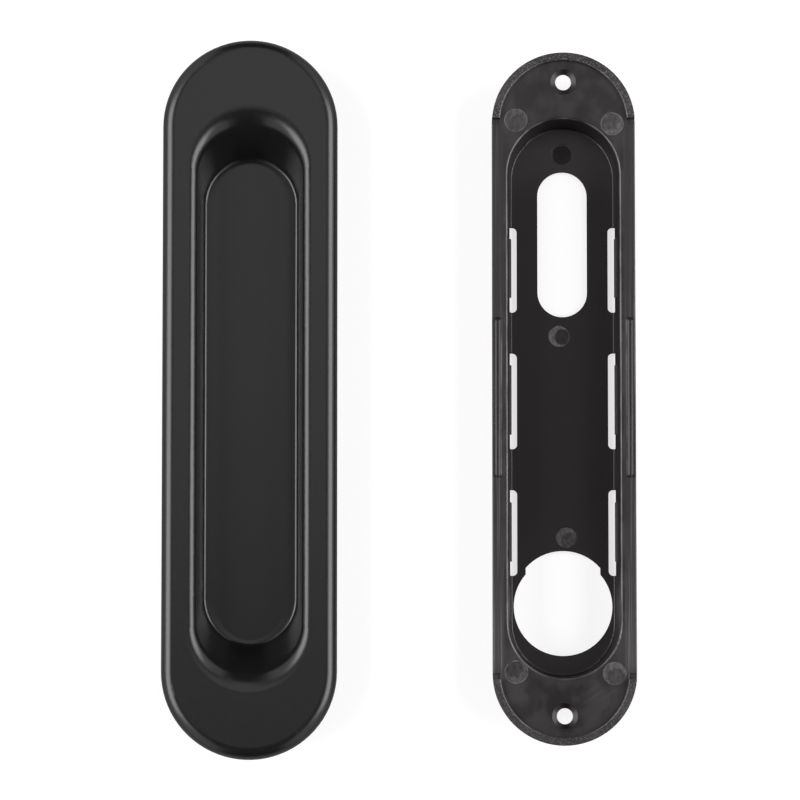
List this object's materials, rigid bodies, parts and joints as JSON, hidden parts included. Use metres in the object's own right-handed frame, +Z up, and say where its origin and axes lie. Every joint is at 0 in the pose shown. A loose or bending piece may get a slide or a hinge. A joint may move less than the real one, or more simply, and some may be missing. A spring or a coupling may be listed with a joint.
{
  "type": "flush pull handle for a sliding door",
  "caption": "Pill-shaped flush pull for a sliding door, taken apart: a black metal cover with a deep finger recess beside its moulded snap-in mounting base.",
  "frame": {"origin": "middle of the ground under the pair, as both pieces lie face up on one flat surface", "axes": "+Y along the handle, +Z up out of the door's face, -X towards the cover, +X towards the base"},
  "size_m": [0.0984, 0.15, 0.0114],
  "materials": {
    "cover_paint": "satin black",
    "base_plastic": "moulded black, slightly shiny"
  },
  "bodies": {
    "root": {"cover": "cover_paint", "mounting_base": "base_plastic"}
  },
  "joints": []
}
